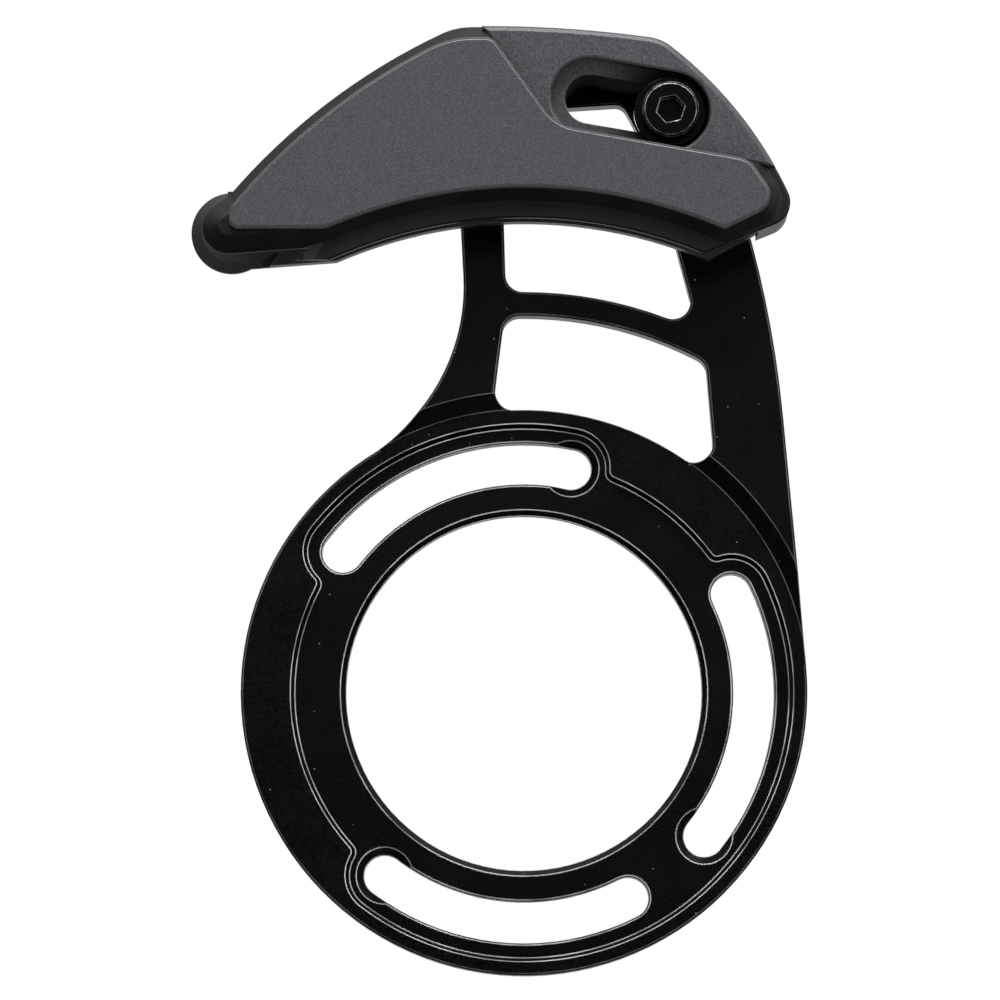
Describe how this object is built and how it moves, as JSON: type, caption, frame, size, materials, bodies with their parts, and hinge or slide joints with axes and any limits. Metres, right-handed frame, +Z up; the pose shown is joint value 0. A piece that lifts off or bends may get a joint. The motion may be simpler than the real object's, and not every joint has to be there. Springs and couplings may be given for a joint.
{
  "type": "bicycle chain guide",
  "caption": "Upper bicycle chain guide: slotted ring plate with a windowed arm, and a covered two-walled chain guide that slides along a slot under a clamp bolt.",
  "frame": {"origin": "on the bottom bracket's axis, in the plane of the backplate's mounting face", "axes": "+X to the front of the bicycle, +Y inboard along the bottom bracket's axis, +Z up the arm"},
  "size_m": [0.0976, 0.027, 0.1483],
  "materials": {
    "anodised_plate": "black anodised, satin",
    "painted_bracket": "grey metallic paint, matt",
    "painted_panel": "grey metallic paint, matt",
    "moulded_resin": "moulded black, fine texture",
    "black_steel": "black oxide, satin",
    "anodised_washer": "black anodised, satin"
  },
  "bodies": {
    "plate": {"backplate": "anodised_plate", "clamp_bolt": "black_steel", "clamp_washer": "anodised_washer"},
    "guide": {"slide_bracket": "painted_bracket", "outer_guide": "moulded_resin", "cover_panel": "painted_panel", "inner_guide": "moulded_resin", "outer_guide_screws": "black_steel", "inner_guide_screws": "black_steel"}
  },
  "joints": [
    {"name": "guide_slide", "type": "slide", "parent": "plate", "child": "guide", "axis": [0.9845, 0, -0.1754], "range_m": [0, 0.0128]}
  ]
}
